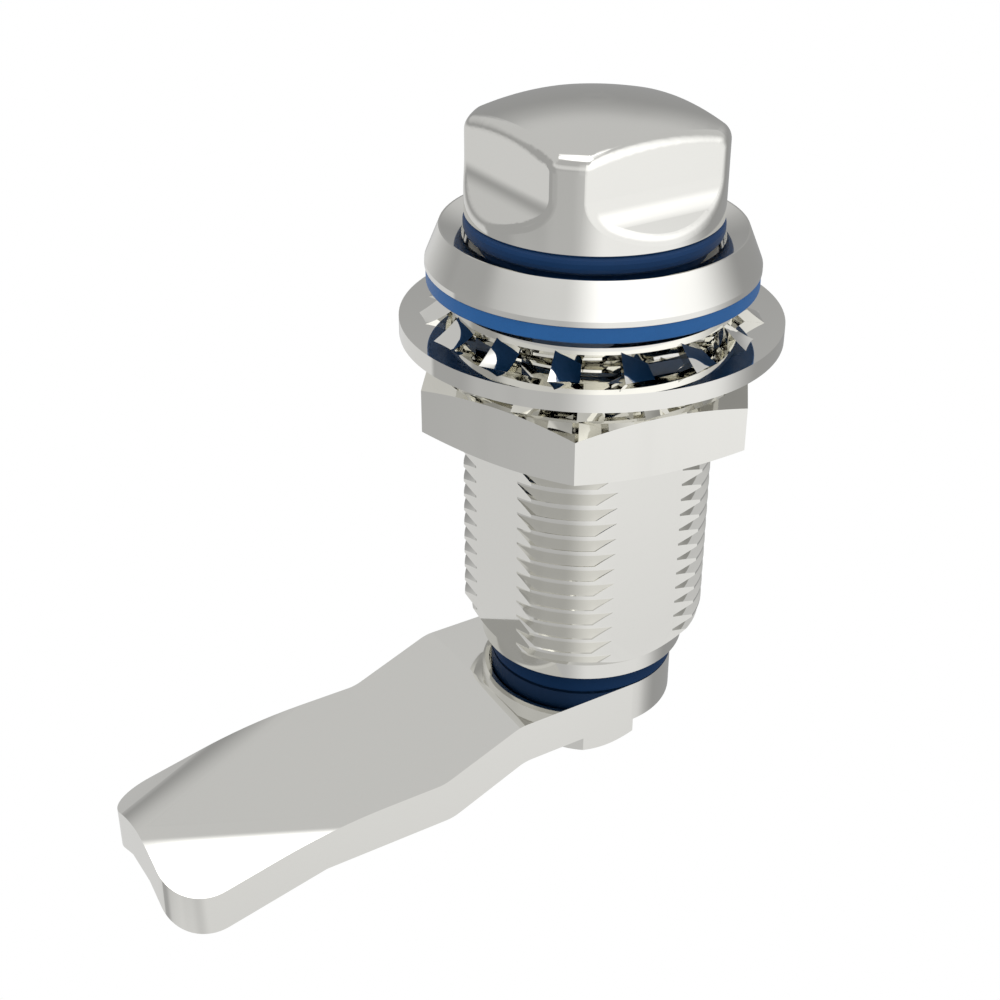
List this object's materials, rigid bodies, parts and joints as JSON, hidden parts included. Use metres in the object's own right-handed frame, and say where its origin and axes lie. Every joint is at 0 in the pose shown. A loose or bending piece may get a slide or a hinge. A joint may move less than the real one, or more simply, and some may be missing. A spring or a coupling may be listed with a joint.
{
  "type": "compression latch",
  "caption": "Quarter-turn compression latch with a square domed knob, conical flange, blue seals, threaded body with lock nut and a cranked cam lever that pulls a door shut.",
  "frame": {"origin": "on the latch axis, on the outer face of the door panel, which is the underside of the flange gasket", "axes": "+Z along the latch axis out of the panel towards the knob; -X along the cam lever in the clamped pose; the body's flats face +-X and +-Y"},
  "size_m": [0.0614, 0.0328, 0.0615],
  "materials": {
    "knob_steel": "polished stainless, soft reflections",
    "housing_steel": "polished stainless",
    "washer_steel": "mirror polished",
    "tooth_steel": "mirror polished spring steel",
    "nut_steel": "polished stainless",
    "cam_steel": "polished stainless casting",
    "screw_steel": "polished stainless",
    "inner_steel": "turned stainless",
    "spring_steel": "spring wire",
    "blue_rubber": "satin blue silicone",
    "dark_rubber": "black O-ring rubber",
    "bush_polymer": "bearing polymer"
  },
  "bodies": {
    "housing": {"housing": "housing_steel", "flange_gasket": "blue_rubber", "upper_tooth_washer": "tooth_steel", "flat_washer": "washer_steel", "lower_tooth_washer": "tooth_steel", "hex_nut": "nut_steel", "thrust_washer": "bush_polymer"},
    "guide": {"guide_sleeve": "inner_steel", "sleeve_circlip": "spring_steel", "sleeve_o_ring": "dark_rubber", "shaft_bush": "bush_polymer", "compression_spring": "spring_steel"},
    "knob": {"knob": "knob_steel", "knob_seal": "blue_rubber", "stem_o_ring": "dark_rubber", "driver": "inner_steel", "driver_pin": "inner_steel", "driver_circlip": "spring_steel"},
    "cam": {"shaft": "inner_steel", "cross_pin": "inner_steel", "spring_seat": "inner_steel", "shaft_o_ring": "dark_rubber", "lower_seal": "blue_rubber", "seal_retainer": "inner_steel", "cam_lever": "cam_steel", "screw_lock_washer": "spring_steel", "cam_screw": "screw_steel"}
  },
  "joints": [
    {"name": "swing", "type": "hinge", "parent": "housing", "child": "guide", "pos_m": [0, 0, 0], "axis": [0, 0, 1], "range_deg": [0, 90]},
    {"name": "release", "type": "hinge", "parent": "guide", "child": "knob", "pos_m": [0, 0, 0], "axis": [0, 0, 1], "range_deg": [0, 90]},
    {"name": "cam_extend", "type": "slide", "parent": "guide", "child": "cam", "axis": [0, 0, -1], "range_m": [0, 0.004], "deforming": ["compression_spring"]}
  ],
  "couplings": [
    {"joint": "release", "follows": "cam_extend", "rad_per_m": 392.7}
  ]
}
